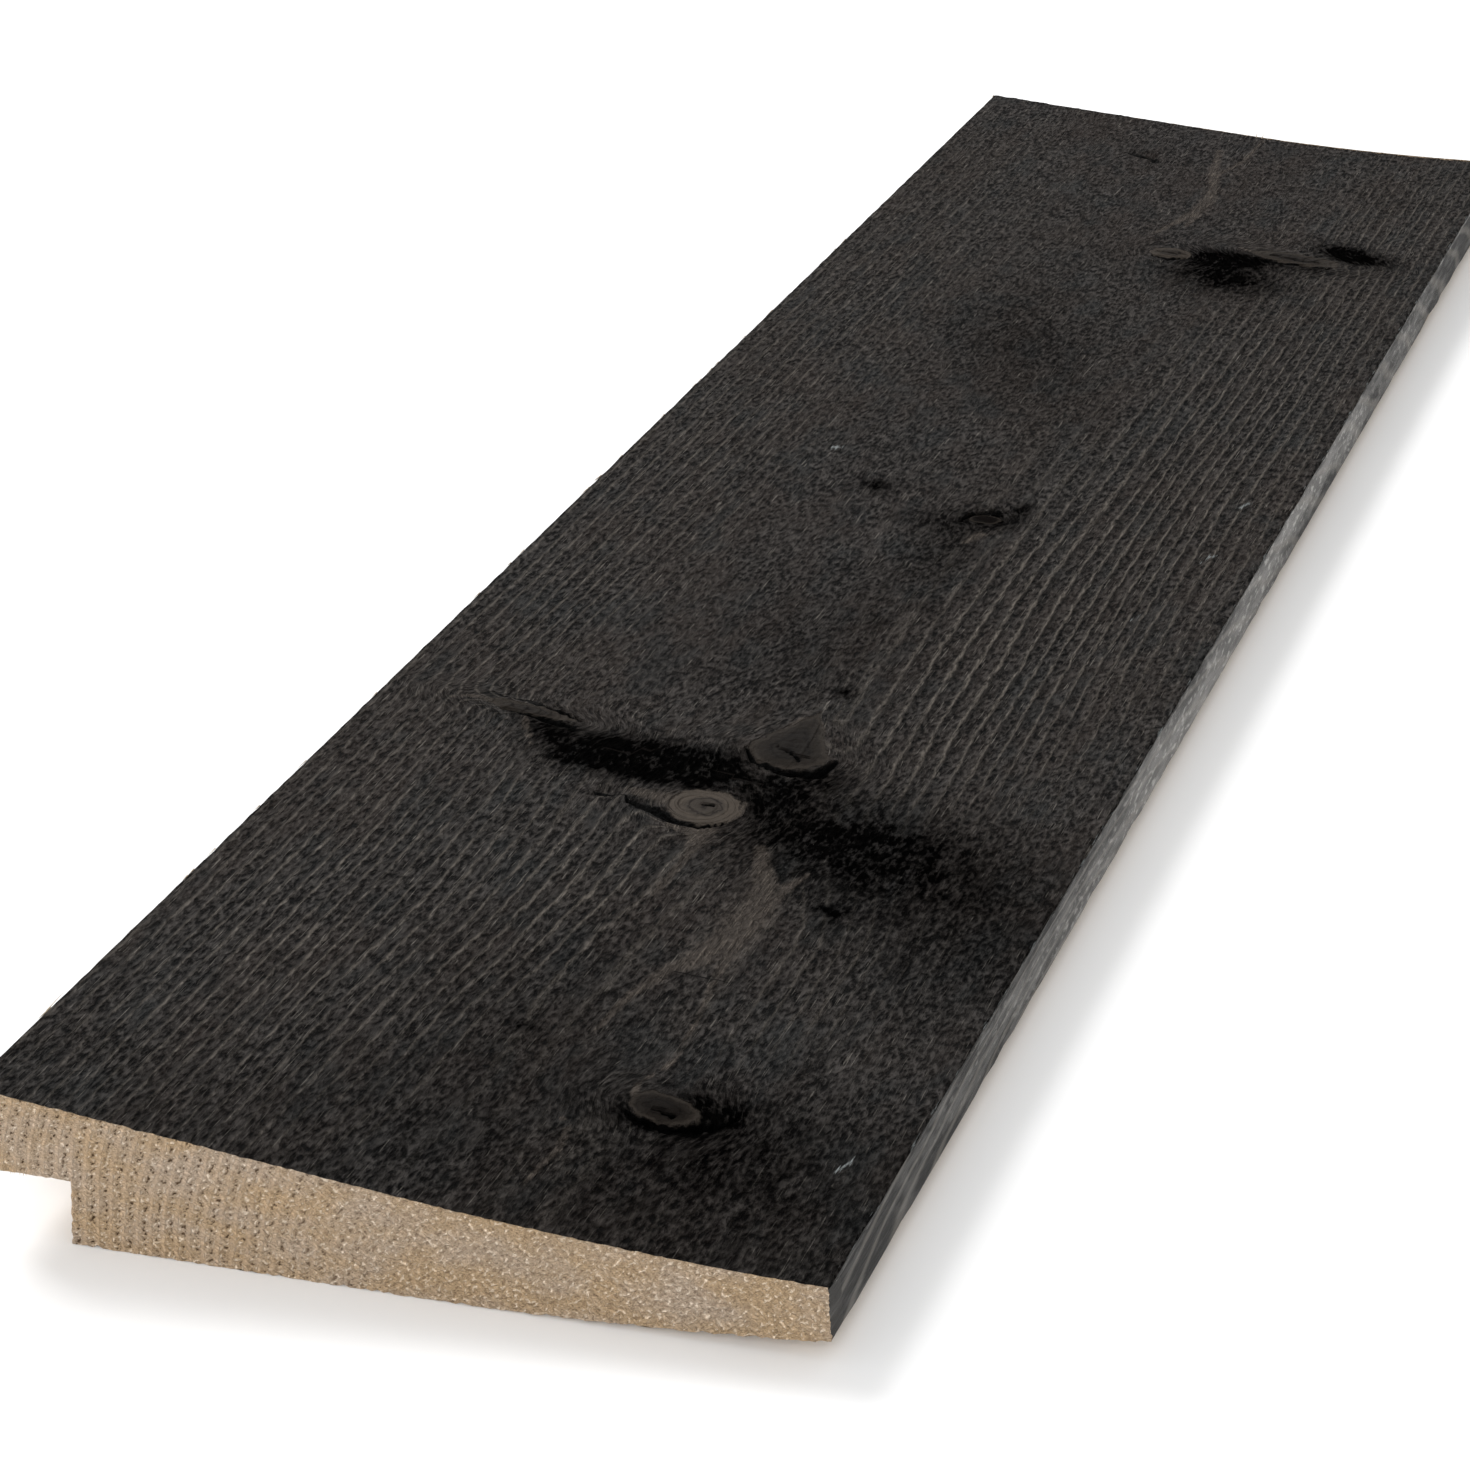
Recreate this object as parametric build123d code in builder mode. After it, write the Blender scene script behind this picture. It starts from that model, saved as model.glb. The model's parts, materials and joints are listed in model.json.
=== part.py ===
from build123d import *
import os

# Rebated clinker cladding board: one piece of sawn softwood, in millimetres.
# X runs across the board, from the thick edge (-X) to the thin edge (+X).
# Y runs along the grain, and the flat half of the back lies on the ground at Z = 0.
# A board above laps over the thin edge, so the thick edge has a rebate in its back.

# Sizes of the sawn blank
board_length = 570.0
board_width = 145.0
thick_edge = 28.0
thin_edge = 10.0

# Rebate that takes the thin edge of the next board
rebate_width = 16.0
rebate_depth = 12.2

# Drying has curled the thin edge up: the board is flat as far as the bend, and an arc beyond it
bend_x = 0.0
curl = 3.7

# Long corners of the face, worn by handling
face_arris_radius = 0.8

thick_side_x = -board_width / 2
thin_side_x = board_width / 2
taper = (thick_edge - thin_edge) / board_width
bend_thickness = thick_edge - taper * (bend_x - thick_side_x)

with BuildPart() as cladding_board:
    # Tapered blank: the face and the back both run straight from the thick edge, then curl
    with BuildSketch(Plane.XZ) as blank_section:
        with BuildLine():
            flat_back = Line((thick_side_x, 0), (bend_x, 0))
            curled_back = TangentArc(flat_back @ 1, (thin_side_x, curl), tangent=flat_back % 1)
            thin_side = Line(curled_back @ 1, (thin_side_x, curl + thin_edge))
            flat_face = Line((thick_side_x, thick_edge), (bend_x, bend_thickness))
            TangentArc(flat_face @ 1, thin_side @ 1, tangent=flat_face % 1)
            Line(flat_face @ 0, flat_back @ 0)
        make_face()
    extrude(amount=board_length / 2, both=True)

    # Rebate milled along the whole back of the thick edge
    with BuildSketch(Plane.XZ) as rebate_section:
        with Locations((thick_side_x, 0)):
            Rectangle(rebate_width, rebate_depth, align=(Align.MIN, Align.MIN))
    extrude(amount=board_length / 2, both=True, mode=Mode.SUBTRACT)

    # Long corners of the face, softened by handling
    long_edges = cladding_board.edges().filter_by(Axis.Y)
    thick_arris = long_edges.sort_by(Axis.Z)[-1]
    thin_arris = long_edges.sort_by(Axis.X)[-2:].sort_by(Axis.Z)[-1]
    fillet([thick_arris, thin_arris], face_arris_radius)

cladding_board.part.label = "cladding_board"

os.makedirs("parts", exist_ok=True)
export_step(cladding_board.part, "parts/cladding_board.step")

section_area = cladding_board.part.volume / board_length
print(f"section {section_area:.1f} mm2")
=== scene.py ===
import json
from math import cos, exp, hypot, pi, radians, sin, sqrt

import bmesh
import bpy
from mathutils import Euler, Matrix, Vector, noise


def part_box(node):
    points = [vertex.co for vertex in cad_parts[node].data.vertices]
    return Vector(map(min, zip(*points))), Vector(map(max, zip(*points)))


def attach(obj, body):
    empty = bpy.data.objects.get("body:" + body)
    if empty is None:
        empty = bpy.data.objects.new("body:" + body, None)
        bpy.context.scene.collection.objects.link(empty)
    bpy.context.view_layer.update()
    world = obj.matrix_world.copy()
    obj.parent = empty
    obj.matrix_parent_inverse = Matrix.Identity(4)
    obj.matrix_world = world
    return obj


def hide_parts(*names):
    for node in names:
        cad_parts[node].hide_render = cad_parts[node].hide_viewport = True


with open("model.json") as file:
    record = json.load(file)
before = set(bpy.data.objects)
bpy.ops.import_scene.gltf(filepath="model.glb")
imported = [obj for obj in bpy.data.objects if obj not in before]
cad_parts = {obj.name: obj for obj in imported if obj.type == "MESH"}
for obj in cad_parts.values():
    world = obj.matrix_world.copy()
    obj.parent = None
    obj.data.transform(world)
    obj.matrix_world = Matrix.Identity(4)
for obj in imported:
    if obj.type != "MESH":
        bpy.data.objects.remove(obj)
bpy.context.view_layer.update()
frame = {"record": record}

# Camera
# The photograph looks down on the board from its near right corner through a long lens.
# Place, angles and focal length were found from the board's corners and edges in the photograph.
photo_height = 1471
focal_pixels = 3769.3
camera_place = (0.24043, -0.72308, 0.32491)
camera_angles = (64.799, 3.726, 20.199)
bpy.ops.object.camera_add(location=camera_place, rotation=[radians(a) for a in camera_angles])
camera = bpy.context.object
camera.data.sensor_width = 36
camera.data.lens = camera.data.sensor_width * focal_pixels / photo_height
bpy.context.scene.camera = camera
bpy.context.scene.view_settings.view_transform = "Standard"

# The sawn board
# One length of softwood, sawn to a taper, rebated along the back of its thick edge and cut square.
# It is drawn as a blank that a mill would start from, divided finely where the saw and the knots
# left relief, and then given its taper, its curl and that relief. Sizes here are in millimetres.
mm = 0.001
touch = 0.01  # how near a surface counts as lying in it
thick_edge = 28
thin_edge = 10
curl = 3.7
lowest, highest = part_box("cladding_board")
mounts = {mount["name"]: Vector(mount["pos_m"]) / mm for mount in frame["record"]["mounts"]}
left, right = lowest.x / mm, highest.x / mm
near, far = lowest.y / mm, highest.y / mm
shoulder = mounts["rebate_shoulder"].x
seat = mounts["rebate_seat"].z


def pick(kind, test):
    """Selects only the edges or the faces that pass the test, in edit mode."""
    bpy.ops.mesh.select_mode(type=kind)
    bpy.ops.mesh.select_all(action="DESELECT")
    mesh = bpy.context.object.data
    shape = bmesh.from_edit_mesh(mesh)
    for part in (shape.faces if kind == "FACE" else shape.edges):
        if test(part):
            part.select_set(True)
    bmesh.update_edit_mesh(mesh)


def middle(part):
    """The middle of an edge or a face, in millimetres."""
    return sum((corner.co for corner in part.verts), Vector()) / len(part.verts) / mm


def runs(edge, axis):
    """Whether an edge runs along an axis: 0 is across the board, 1 along it, 2 up."""
    line = edge.verts[1].co - edge.verts[0].co
    return abs(line[axis]) > 0.99 * line.length


bpy.ops.object.select_all(action="DESELECT")
bpy.ops.mesh.primitive_cube_add(
    size=mm,
    location=((shoulder + right) / 2 * mm, 0, thick_edge / 2 * mm),
    scale=(right - shoulder, far - near, thick_edge),
)
board = bpy.context.object
board.name = board.data.name = "sawn_board"
bpy.ops.object.transform_apply(location=True, rotation=True, scale=True)
bpy.ops.object.mode_set(mode="EDIT")
bpy.ops.mesh.bisect(plane_co=(0, 0, seat * mm), plane_no=(0, 0, 1))
pick("FACE", lambda f: f.normal.x < -0.9 and middle(f).z > seat)
bpy.ops.mesh.extrude_region_move(TRANSFORM_OT_translate={"value": ((left - shoulder) * mm, 0, 0)})

# Coarse divisions all over, about 2.8 x 4.8 x 2 mm
pick("EDGE", lambda e: runs(e, 0) and middle(e).x < shoulder)
bpy.ops.mesh.subdivide(number_cuts=5)
pick("EDGE", lambda e: runs(e, 0) and middle(e).x > shoulder)
bpy.ops.mesh.subdivide(number_cuts=44)
pick("EDGE", lambda e: runs(e, 1))
bpy.ops.mesh.subdivide(number_cuts=119)
pick("EDGE", lambda e: runs(e, 2) and middle(e).z < seat)
bpy.ops.mesh.subdivide(number_cuts=5)
pick("EDGE", lambda e: runs(e, 2) and middle(e).z > seat)
bpy.ops.mesh.subdivide(number_cuts=7)

# Finer ones on the face and on the two cut ends
top = thick_edge - touch


def on_end(part):
    """Whether an edge lies in one of the cut ends."""
    return abs(middle(part).y) > far - touch


pick("EDGE", lambda e: runs(e, 0) and (middle(e).z > top or on_end(e)))
bpy.ops.mesh.subdivide(number_cuts=2)
pick("EDGE", lambda e: runs(e, 2) and on_end(e))
bpy.ops.mesh.subdivide(number_cuts=2)
pick("EDGE", lambda e: runs(e, 1) and middle(e).z > top)
bpy.ops.mesh.subdivide(number_cuts=1)

# Knots as they lie in the face: the middle, half the width and the length, the length of the tail
# that runs out along the grain, and the turn. push is how many growth rings a knot lifts, dome how
# far it stands up and pale how much of the wood's own colour shows in it.
knots = [
    dict(x=1.5, y=-147.5, across=6.4, along=6.4, tail=0, turn=0, push=7.0, dome=0.25, pale=0.8),
    dict(x=8.3, y=-120.0, across=7.6, along=7.2, tail=17.0, turn=0, push=1.5, dome=0.3, pale=0.15),
    dict(x=-42.5, y=-125.5, across=9.0, along=2.2, tail=0, turn=-3, push=2.5, dome=0.1, pale=0.3),
    dict(x=31, y=-245.5, across=6.3, along=4.0, tail=0, turn=-15, push=1.5, dome=0.2, pale=0.1),
    dict(x=11, y=-0.5, across=3.4, along=2.4, tail=0, turn=20, push=1.2, dome=0.1, pale=0.0),
    dict(x=5.9, y=181.3, across=5.2, along=3.9, tail=0, turn=8, push=1.5, dome=0.25, pale=0.5),
    dict(x=36.5, y=190.2, across=11.2, along=3.4, tail=0, turn=-6, push=1.5, dome=0.15, pale=0.25),
]


def in_knot(knot, x, y):
    """A point as seen from a knot's middle, with its rim at a distance of 1."""
    turn = radians(knot["turn"])
    across = (x - knot["x"]) * cos(turn) + (y - knot["y"]) * sin(turn)
    along = (y - knot["y"]) * cos(turn) - (x - knot["x"]) * sin(turn)
    if along > 0 and knot["tail"]:
        reach = min(along / knot["tail"], 1)
        return across / (knot["across"] * (1 - 0.8 * reach)), along / knot["tail"]
    return across / knot["across"], along / knot["along"]


def knot_distance(knot, x, y):
    """How far a point is from a knot's middle, with its rim at a distance of 1."""
    return hypot(*in_knot(knot, x, y))


# Finer still on and around the knots, twice over close to them
for reach in (2.2, 1.5):
    pick(
        "FACE",
        lambda f: middle(f).z > top and min(knot_distance(k, *middle(f).xy) for k in knots) < reach,
    )
    bpy.ops.mesh.subdivide(number_cuts=1)
bpy.ops.object.mode_set(mode="OBJECT")

# Each kind of surface gets its material while the blank's faces are still true
surface = {"face": 0, "side": 1, "end": 2, "back": 3}
for part in board.data.polygons:
    if abs(part.normal.y) > 0.9:
        part.material_index = surface["end"]
    elif part.normal.z > 0.9:
        part.material_index = surface["face"]
    elif part.center.x > (right - 1) * mm or part.center.x < (left + 1) * mm:
        part.material_index = surface["side"]
    else:
        part.material_index = surface["back"]

# Black patches beside the knots: the middle, the reach both ways, the turn and the strength of each
# patch
dark_patches = [
    (-13, -135, 14, 7.5, 0, 2.2),
    (-26, -136.5, 10, 7, 8, 1.3),
    (-37, -131, 7, 4.5, -15, 0.9),
    (-2, -131, 9, 8, 0, 0.8),
    (11, -141, 6, 8, 20, 0.7),
    (28, -150, 24, 17, -8, 0.92),
    (15, -130, 9, 9, 0, 0.8),
    (48, -158, 24, 22, -10, 0.6),
    (62, -182, 20, 24, 0, 0.45),
    (37.5, -244, 8, 6, 0, 0.9),
    (33, -249, 12, 4, 0, 0.7),
    (45, -254, 18, 16, 20, 0.5),
    (55, -275, 45, 40, 0, 0.5),
    (5, -240, 30, 45, 0, 0.3),
    (-30, -285, 50, 30, 0, 0.25),
    (20, 182, 10, 7, 10, 1.6),
    (23, 170, 17, 13, -15, 0.95),
    (50, 197, 12, 6, -25, 1.3),
    (38, 184, 16, 4, -5, 0.6),
    (8, -20, 8, 24, 0, 0.45),
    (2, -6, 9, 5, 0, 0.55),
    (12, 0, 7, 5, 30, 0.9),
    (17, 8, 2.5, 4, 0, 1.0),
    (0, -75, 18, 30, 0, 0.25),
    (-4, 95, 16, 40, 20, 0.3),
    (-19, 107, 10, 24, 0, 0.2),
    (36, -175, 5, 1.3, 0, 1.0),
    (36, -179, 1.3, 4, 0, 0.8),
    (1, -231.5, 2.6, 2.2, 0, 1.0),
    (-16, 7, 4.5, 3.4, -20, 1.0),
    (12, -49, 3.5, 1.2, 30, 0.6),
    (6, -58, 3, 2.5, 0, 0.6),
    (10.5, -92, 2.2, 2.2, 0, 0.9),
]

# Where the growth rings show as pale ridges, and how strongly
figured_patches = [
    (-8, -195, 17, 55, 0, 1.0),
    (-42, -225, 34, 85, 0, 0.8),
    (-58, -60, 20, 120, 0, 0.6),
    (-55, 130, 22, 150, 0, 0.4),
    (31, -65, 20, 80, 0, 1.0),
    (48, 35, 28, 150, 0, 0.8),
    (58, 215, 22, 90, 0, 0.5),
    (40, -190, 16, 34, 0, 0.5),
    (48, -270, 22, 25, 0, 0.3),
    (21, -268, 7, 22, 0, 0.5),
]

# Strokes that the knots and the saw left in the face, each a line of points with half a width.
# The stain never took in the bare ones, save those on the knots' upper rims, which are painted
# highlights; the splits are deep grooves painted black, which is painted shade, and some lie under the
# knots' lower edges.
bare_and_highlight_strokes = [
    [(16, -157.5, 1.4), (18, -163, 1.8), (21.5, -170, 3.0), (22.5, -178, 3.8), (22.0, -190, 4.4),
     (19.5, -199, 3.2), (15.5, -206, 1.6), (13.0, -216, 1.0), (12.0, -228, 0.6)],
    [(27.5, -163, 0.4), (25, -171, 1.4), (24, -190, 1.8), (24.3, -203, 0.9),
     (26, -214, 0.7), (27, -226, 0.6), (27.5, -233, 0.6), (25, -238, 0.6)],
    [(4.3, -156.5, 3.0), (4.6, -162, 1.6), (5, -168, 1.0), (4.5, -182, 0.8)],
    [(-2, -156.5, 1.2), (2, -157.5, 1.4), (5.3, -155.5, 1.6)],
    [(7.6, -143, 0.7), (8.2, -147, 0.7), (7.8, -150, 0.5)],
    [(15.5, -252, 0.5), (19, -256, 0.8), (20, -263, 0.7), (18.5, -274, 0.5)],
    [(24, -266, 0.4), (24.5, -284, 0.4)],
    [(-17, -148, 0.7), (-12, -147.3, 1.8), (-7, -147.5, 2.8), (-3, -147, 3.2)],
    [(-2, 193, 0.8), (1.5, 205, 1.2), (4, 214, 2.2), (5, 224, 2.6), (4, 236, 2.0),
     (0.5, 250, 1.4), (-2, 268, 1.2)],
    [(5, 212, 1.2), (4.5, 203, 0.8)],
    [(2, 246, 0.8), (6, 262, 0.8), (7, 284, 0.7)],
    [(12.5, -8, 1.5), (10.5, -14, 0.8)],
    [(-58, -127, 0.5), (-55, -124.8, 0.8), (-52, -124.8, 1.0), (-49, -125.8, 0.7)],
    [(-42, -128.6, 0.5), (-40, -133, 1.0), (-37, -138, 0.7)],
    # Painted highlights along the knots' upper rims, from here to the end of the list
    [(1, -122, 0.6), (3, -116, 0.6), (6, -106.5, 0.7), (8.5, -104.5, 0.8), (10.7, -108, 0.8),
     (13, -117, 0.7)],
    [(24.6, -240.3, 0.7), (25, -243.2, 0.8), (28.7, -244.5, 0.6), (32, -246.4, 0.5)],
    [(34.3, -243.3, 0.5), (36, -245.3, 0.5), (34.6, -247.8, 0.4)],
    [(20.3, 194, 0.4), (24, 192, 0.7), (27, 190, 0.8)],
    [(30, 192.6, 0.5), (38, 193.0, 0.7), (45, 190.5, 0.7), (47.5, 186.8, 0.7)],
]
splits_and_shade = [
    # Black grooves whose black is painted shade; several run under a knot's lower edge as its shade
    [(-19.5, -149.4, 0.5), (-13, -150.6, 1.0), (-7, -152.2, 1.4), (-2.5, -154.4, 1.2),
     (2.7, -154.9, 0.8), (7, -151.8, 0.4)],
    [(0.4, -122, 0.4), (3.3, -126.4, 0.8), (9.7, -128.6, 1.2), (16.2, -127, 1.5), (17.4, -121, 1.0)],
    [(5.6, -119.4, 0.3), (8.1, -120.3, 0.5), (10.1, -121.6, 0.6), (11.3, -123.3, 0.4)],
    [(10.1, -121.6, 0.5), (13.3, -121.0, 0.3)],
    [(-54, -122.2, 0.5), (-48.7, -121.7, 0.9), (-42.8, -122, 0.8), (-36.7, -123.6, 0.7),
     (-31.7, -125.6, 0.3)],
    [(-48.5, -126.6, 0.3), (-41.2, -127.7, 0.6), (-36.5, -127.8, 1.0), (-32, -128.2, 0.6)],
    [(25.5, -248, 0.5), (28.5, -250, 1.0), (34, -250.5, 1.1), (40, -248.5, 1.0), (43, -244, 0.5)],
    [(29.5, -246, 0.3), (33.2, -247, 0.8)],
    [(6, -3.5, 0.5), (8, 2.5, 0.8), (13, 5, 0.9), (17.4, 8.5, 0.6)],
    [(2.5, 181.2, 0.3), (6, 181.3, 0.6), (10, 182.2, 0.3)],
    [(2, 178.0, 0.4), (6.5, 177.0, 0.9), (10.5, 179.5, 0.5)],
    [(24, 188.5, 0.5), (30, 186.6, 0.9), (38, 186.0, 0.9), (46, 185.3, 0.5)],
    [(30, 190.6, 0.3), (37, 189.4, 0.5), (43, 189.2, 0.3)],
    [(-27, 254.8, 0.8), (-22, 254.8, 1.3), (-14, 252.8, 0.5)],
    [(-17, 251.3, 0.5), (-9.5, 252.2, 0.7)],
    [(1.0, -146.8, 0.5), (2.8, -146.7, 0.6)],
]

# Pale scuffs and lint caught on the face
scuffs = [
    [(60.8, 25.5, 0.9), (62.3, 28.5, 1.0)],
    [(60, -5, 0.8), (61.8, -2.5, 0.8)],
    [(53.5, -39, 0.6), (54.5, -37, 0.6)],
    [(-31.5, 22, 0.9), (-28, 24, 0.9)],
    [(63.2, -254, 0.6), (64.2, -249, 0.6)],
]


def patch(patches, x, y):
    """How strong the patches are together at a point."""
    left_out = 1
    for px, py, reach_x, reach_y, turn, strength in patches:
        turn = radians(turn)
        across = ((x - px) * cos(turn) + (y - py) * sin(turn)) / reach_x
        along = ((y - py) * cos(turn) - (x - px) * sin(turn)) / reach_y
        left_out *= 1 - min(strength * exp(-(across**2 + along**2) ** 1.2), 1)
    return 1 - left_out


def stroke(strokes, x, y):
    """How near a point is to a stroke: 1 in the middle of one, 0 on its edge and below 0 beyond."""
    best = -3
    for points in strokes:
        for (ax, ay, wide_a), (bx, by, wide_b) in zip(points, points[1:]):
            step_x, step_y = bx - ax, by - ay
            part = ((x - ax) * step_x + (y - ay) * step_y) / (step_x**2 + step_y**2)
            part = min(max(part, 0), 1)
            wide = wide_a + (wide_b - wide_a) * part
            best = max(best, 1 - hypot(x - ax - step_x * part, y - ay - step_y * part) / wide)
    return best


# Growth rings as they cut the face: each line gives its ring, and how far across the board it lies
# at some places along it
ring_guides = [
    (28.5, [(-285, -78), (285, -78)]),
    (23, [(-285, -61), (-160, -60.5), (0, -60), (285, -58)]),
    (19, [(-285, -49.5), (-190, -48.6), (-142, -50), (0, -47), (285, -45)]),
    (14, [(-285, -35.7), (-242, -35.2), (-200, -34.1), (-170, -34.6), (-142, -36.5), (0, -32),
          (285, -30)]),
    (13, [(-285, -32.7), (-242, -32.4), (-200, -30.8), (-170, -31.6), (-142, -34), (0, -29),
          (285, -26)]),
    (7, [(-285, -14.5), (-240, -12.5), (-202, -9.5), (-182, -8.9), (-160, -9.2), (-120, -10),
         (0, -12), (285, -8)]),
    (6, [(-285, -12), (-240, -9.5), (-202, -6), (-182, -4.8), (-160, -5.5), (-120, -5),
         (0, -7), (285, -4)]),
    (5, [(-285, -9), (-240, -6.5), (-202, -2.8), (-182, -1.3), (-160, -1.5), (-120, 0),
         (0, -2), (285, 0)]),
    (4, [(-285, 0), (-250, 3.5), (-202, 1.5), (-182, 4.3), (-160, 4.5), (-120, 6), (0, 2), (285, 4)]),
    (3, [(-285, 6), (-250, 8), (-206, 10.5), (-172, 11.8), (-120, 10), (0, 5), (285, 8)]),
    (2, [(-285, 18.5), (-227, 12.5), (-200, 18), (-172, 19), (-120, 12), (0, 8), (285, 14)]),
    (2.1, [(-285, 24.5), (-227, 27), (-200, 25.5), (-172, 26.5), (-120, 13.5), (0, 9), (285, 16)]),
    (3, [(-285, 33), (-190, 32.5), (-142, 20), (-110, 18), (-90, 16.6), (-30, 14.5), (285, 20)]),
    (4, [(-285, 37), (-190, 36.5), (-142, 23.5), (-130, 24), (-110, 23.2), (-90, 22), (-60, 20.5),
         (-20, 20), (285, 24)]),
    (5, [(-285, 41), (-190, 40.5), (-130, 28.5), (-110, 27.5), (-90, 26), (-60, 25), (-20, 24.6),
         (285, 28)]),
    (6, [(-285, 45), (-190, 44), (-130, 32.5), (-90, 30), (-60, 29), (-20, 28.4), (285, 32)]),
    (7, [(-285, 49), (-190, 47.5), (-130, 36), (-90, 34), (-20, 32), (285, 36)]),
    (8, [(-285, 52), (-190, 51), (-130, 40), (-90, 38), (-20, 36.5), (285, 40)]),
    (12, [(-285, 62), (-190, 60), (-130, 52), (-20, 49), (285, 52)]),
    (15, [(-285, 70), (-190, 68), (-130, 60), (-20, 57), (285, 60)]),
    (23, [(-285, 90), (285, 84)]),
]


def across_at(points, y):
    """Where a ring guide lies across the board at a place along it."""
    for (y_a, x_a), (y_b, x_b) in zip(points, points[1:]):
        if y <= y_b:
            part = min(max((y - y_a) / (y_b - y_a), 0), 1)
            return x_a + (x_b - x_a) * part * part * (3 - 2 * part)
    return points[-1][1]


# Where all the guides lie at each place along the board, kept because many points share one
rows = {}


def face_rings(x, y):
    """How many growth rings lie between the pith and a point of the face."""
    if y not in rows:
        rows[y] = [(across_at(points, y), ring) for ring, points in ring_guides]
    places = rows[y]
    for (x_a, ring_a), (x_b, ring_b) in zip(places, places[1:]):
        if x <= x_b:
            break
    rings = ring_a + (ring_b - ring_a) * min(max((x - x_a) / max(x_b - x_a, 0.1), 0), 1)
    for knot in knots:
        rings += knot["push"] * exp(-((knot_distance(knot, x, y) / 1.35) ** 3))
    return rings + 0.22 * noise.noise((x / 9, y / 60, 0)) + 0.3


def end_rings(x, z):
    """The same for a point of a cut end, where the pith lies just below the board."""
    pith_x, pith_z = 27, -6
    ring_width = 2.4
    return hypot(x - pith_x, z - pith_z) / ring_width + 0.35 * noise.noise((x / 12, 4, z / 12))


def side_rings(y, z):
    """The same for a point of the thin side, where the rings show as nested arches."""
    arch_y, arch_z = -165, 1
    arch_length, arch_height = 21, 2.3
    arches = hypot((y - arch_y) / arch_length, (z - arch_z) / arch_height)
    return arches + 0.3 * noise.noise((1, y / 25, z / 5))


# Where the thin side is paler grey, partly worn stain and partly painted sheen: six figures as for
# the dark patches, but along the board and up it
worn_and_sheen_patches = [
    (-200, 9, 40, 3, 0, 0.3),
    (-150, 5, 35, 6, 0, 0.55),
    (-95, 6, 30, 8, 0, 0.8),
    (-50, 4.5, 35, 6, 0, 1.0),
    (-5, 9, 30, 6, 0, 0.75),
    (30, 11, 22, 4.5, 0, 0.9),
    (62, 11, 22, 4, 0, 0.9),
    (92, 8, 16, 6, 0, 0.7),
    (150, 8, 40, 9, 0, 0.4),
]


def sideways(x, y):
    """How far the knots push the grain aside at a point, in millimetres."""
    return sum(
        (x - knot["x"]) * 0.8 * exp(-((knot_distance(knot, x, y) / 1.7) ** 2)) for knot in knots
    )


def back_height(x):
    """How high the back lies at a place across the board."""
    return curl * (max(x, 0) / right) ** 2


def face_height(x):
    """The same for the face."""
    return thick_edge - (thick_edge - thin_edge) * (x - left) / (right - left) + back_height(x)


def shaped(x, z):
    """The height of a point of the blank once it is tapered and curled."""
    body = max((x - shoulder) / (right - shoulder), 0)
    seat_height = seat + (curl + thin_edge * seat / thick_edge - seat) * body
    if z < seat:
        return back_height(x) + (seat_height - back_height(x)) * z / seat
    return seat_height + (face_height(x) - seat_height) * (z - seat) / (thick_edge - seat)


def fuzz(x, y, z, size, stretch):
    """Rough sawn grain: noise drawn out along the board."""
    return noise.noise((x / size, y / (size * stretch), z / size))


# Depths of the relief. The rebate's shoulder was cut square to the face, so it leans a little.
arris = 0.8
rebate_lean = 1.8
nap_floor = 0.5
nap_height = 0.22
ring_height = 0.12
split_depth = 1.3
tooth = 1.0
chip = 1.3
rebate_tooth = 0.5
shoulder_tooth = 0.6
tooth_width = 0.9
end_strip = 2  # how far in from an end or an edge the saw tore it
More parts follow.
